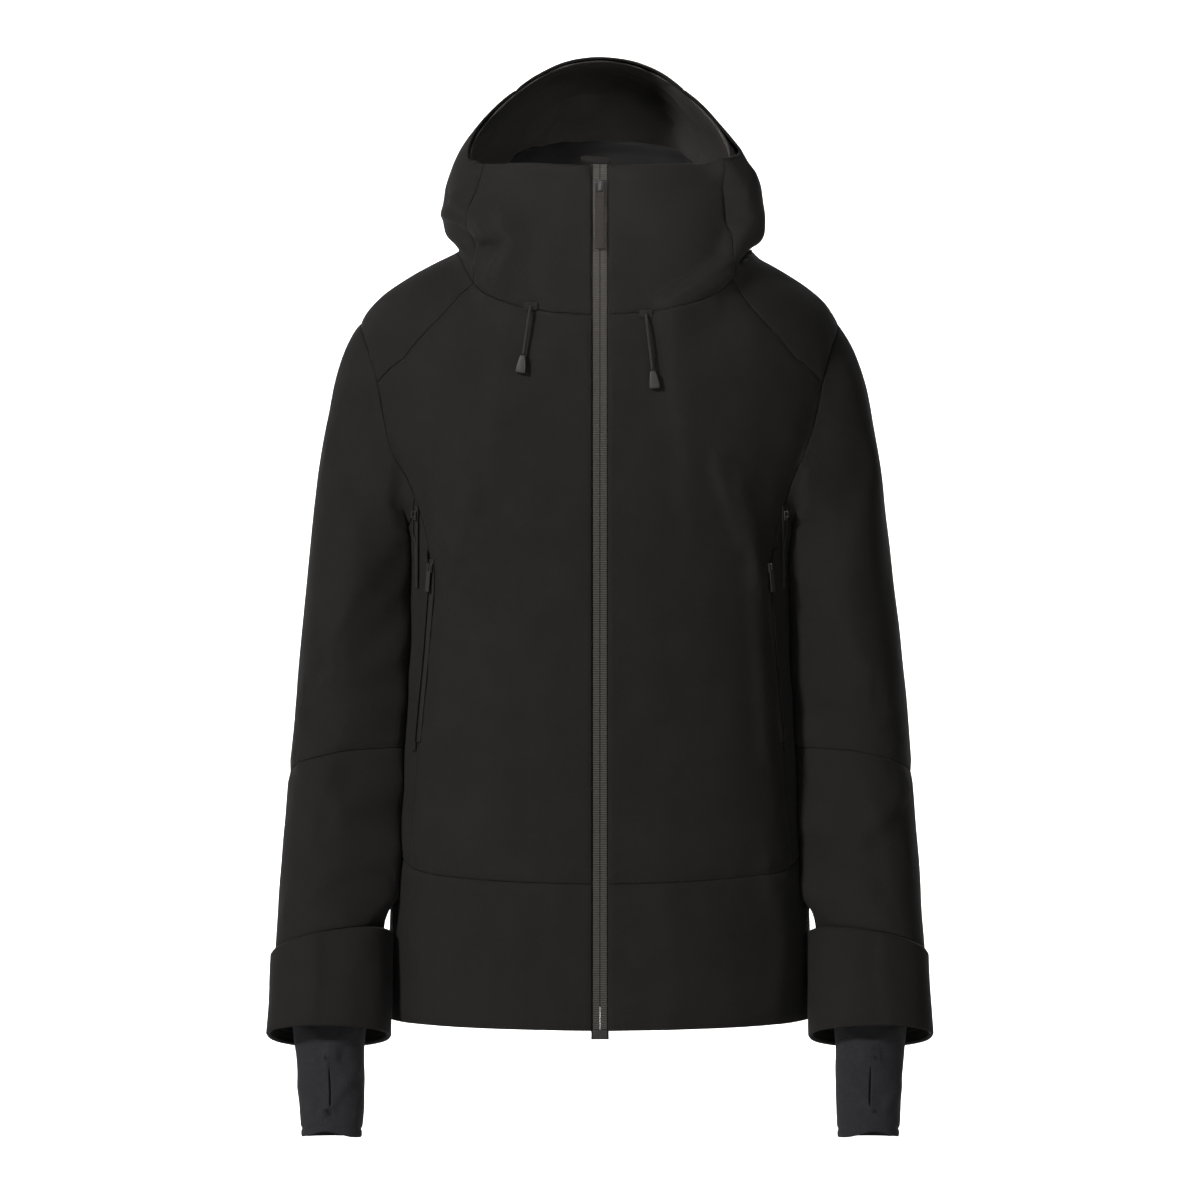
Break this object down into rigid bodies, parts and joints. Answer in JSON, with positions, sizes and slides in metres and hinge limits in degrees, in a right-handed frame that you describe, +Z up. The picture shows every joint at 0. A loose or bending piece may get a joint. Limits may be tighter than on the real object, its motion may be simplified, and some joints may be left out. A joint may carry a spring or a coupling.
{
  "type": "ski jacket",
  "caption": "Hooded ski jacket, zipped shut, with quilted inner collar, storm cuffs, thumb-slit wrist gaiters, zipped hand pockets, underarm vents and hood drawcords.",
  "frame": {"origin": "underside of the top of the hanging loop inside the back of the collar, where a peg or hanger holds the jacket", "axes": "+Z up, front of the jacket towards -Y, the wearer's left towards +X"},
  "size_m": [0.606, 0.2892, 0.9854],
  "materials": {
    "shell_cloth": "matt woven polyester face fabric, near-black",
    "lining_cloth": "smooth quilted taffeta, charcoal",
    "gaiter_jersey": "fine stretch jersey, charcoal",
    "zip_coil": "moulded zip teeth and coil on woven tape, dark grey",
    "zip_metal": "die-cast, satin black paint",
    "webbing": "narrow woven webbing, dark grey",
    "cord_braid": "round braided polyester cord, dark grey",
    "moulded_end": "injection-moulded soft plastic, satin"
  },
  "bodies": {
    "jacket": {"front_panel_left": "shell_cloth", "front_panel_right": "shell_cloth", "side_panel_left": "shell_cloth", "side_panel_right": "shell_cloth", "back_panel": "shell_cloth", "shoulder_yoke_left": "shell_cloth", "shoulder_yoke_right": "shell_cloth", "back_yoke": "shell_cloth", "front_hem_panel_left": "shell_cloth", "front_hem_panel_right": "shell_cloth", "back_hem_panel": "shell_cloth", "front_lining_left": "lining_cloth", "front_lining_right": "lining_cloth", "back_lining": "lining_cloth", "shoulder_lining": "lining_cloth", "upper_sleeve_left": "shell_cloth", "upper_sleeve_right": "shell_cloth", "forearm_sleeve_left": "shell_cloth", "forearm_sleeve_right": "shell_cloth", "cuff_left": "shell_cloth", "cuff_right": "shell_cloth", "sleeve_lining_left": "lining_cloth", "sleeve_lining_right": "lining_cloth", "wrist_gaiter_left": "gaiter_jersey", "wrist_gaiter_right": "gaiter_jersey", "hood_side_left": "shell_cloth", "hood_side_right": "shell_cloth", "hood_centre": "shell_cloth", "hood_lining": "lining_cloth", "collar_front_left": "shell_cloth", "collar_front_right": "shell_cloth", "inner_collar": "lining_cloth", "zip_tape_left": "zip_coil", "zip_tape_right": "zip_coil", "zip_box": "zip_metal", "zip_garage": "shell_cloth", "pocket_zip_left": "zip_coil", "pocket_zip_right": "zip_coil", "pocket_welt_left": "shell_cloth", "pocket_welt_right": "shell_cloth", "vent_zip_left": "zip_coil", "vent_zip_right": "zip_coil", "pocket_bag_left": "lining_cloth", "pocket_bag_right": "lining_cloth", "cord_eyelet_left": "shell_cloth", "cord_eyelet_right": "shell_cloth", "hang_loop": "webbing"},
    "main_slider": {"main_slider": "zip_metal"},
    "main_pull": {"main_pull": "webbing"},
    "pocket_slider_left": {"pocket_slider_left": "zip_metal"},
    "pocket_pull_left": {"pocket_pull_left": "webbing"},
    "vent_slider_left": {"vent_slider_left": "zip_metal"},
    "drawcord_left": {"drawcord_left": "cord_braid", "cord_end_left": "moulded_end"},
    "pocket_slider_right": {"pocket_slider_right": "zip_metal"},
    "pocket_pull_right": {"pocket_pull_right": "webbing"},
    "vent_slider_right": {"vent_slider_right": "zip_metal"},
    "drawcord_right": {"drawcord_right": "cord_braid", "cord_end_right": "moulded_end"}
  },
  "joints": [
    {"name": "main_zip_slide", "type": "slide", "parent": "jacket", "child": "main_slider", "axis": [0, -0.03, -0.9996], "range_m": [0, 0.745]},
    {"name": "main_pull_swing", "type": "hinge", "parent": "main_slider", "child": "main_pull", "pos_m": [0, -0.17699, 0.01902], "axis": [-1, 0, 0], "range_deg": [0, 150]},
    {"name": "pocket_zip_slide_left", "type": "slide", "parent": "jacket", "child": "pocket_slider_left", "axis": [0.0783, 0.0666, -0.9947], "range_m": [0, 0.145]},
    {"name": "pocket_pull_swing_left", "type": "hinge", "parent": "pocket_slider_left", "child": "pocket_pull_left", "pos_m": [0.15489, -0.14071, -0.3233], "axis": [-0.602, -0.7922, -0.1004], "range_deg": [0, 150]},
    {"name": "vent_zip_slide_left", "type": "slide", "parent": "jacket", "child": "vent_slider_left", "axis": [0, 0.164, -0.9865], "range_m": [0, 0.057]},
    {"name": "pocket_zip_slide_right", "type": "slide", "parent": "jacket", "child": "pocket_slider_right", "axis": [-0.0783, 0.0666, -0.9947], "range_m": [0, 0.145]},
    {"name": "pocket_pull_swing_right", "type": "hinge", "parent": "pocket_slider_right", "child": "pocket_pull_right", "pos_m": [-0.15489, -0.14071, -0.3233], "axis": [-0.602, 0.7922, 0.1004], "range_deg": [0, 150]},
    {"name": "vent_zip_slide_right", "type": "slide", "parent": "jacket", "child": "vent_slider_right", "axis": [0, 0.164, -0.9865], "range_m": [0, 0.057]},
    {"name": "drawcord_swing_left", "type": "hinge", "parent": "jacket", "child": "drawcord_left", "pos_m": [0.04115, -0.17871, -0.0974], "axis": [-1, 0, 0], "range_deg": [0, 90]},
    {"name": "drawcord_swing_right", "type": "hinge", "parent": "jacket", "child": "drawcord_right", "pos_m": [-0.06228, -0.17691, -0.09029], "axis": [-1, 0, 0], "range_deg": [0, 90]}
  ]
}
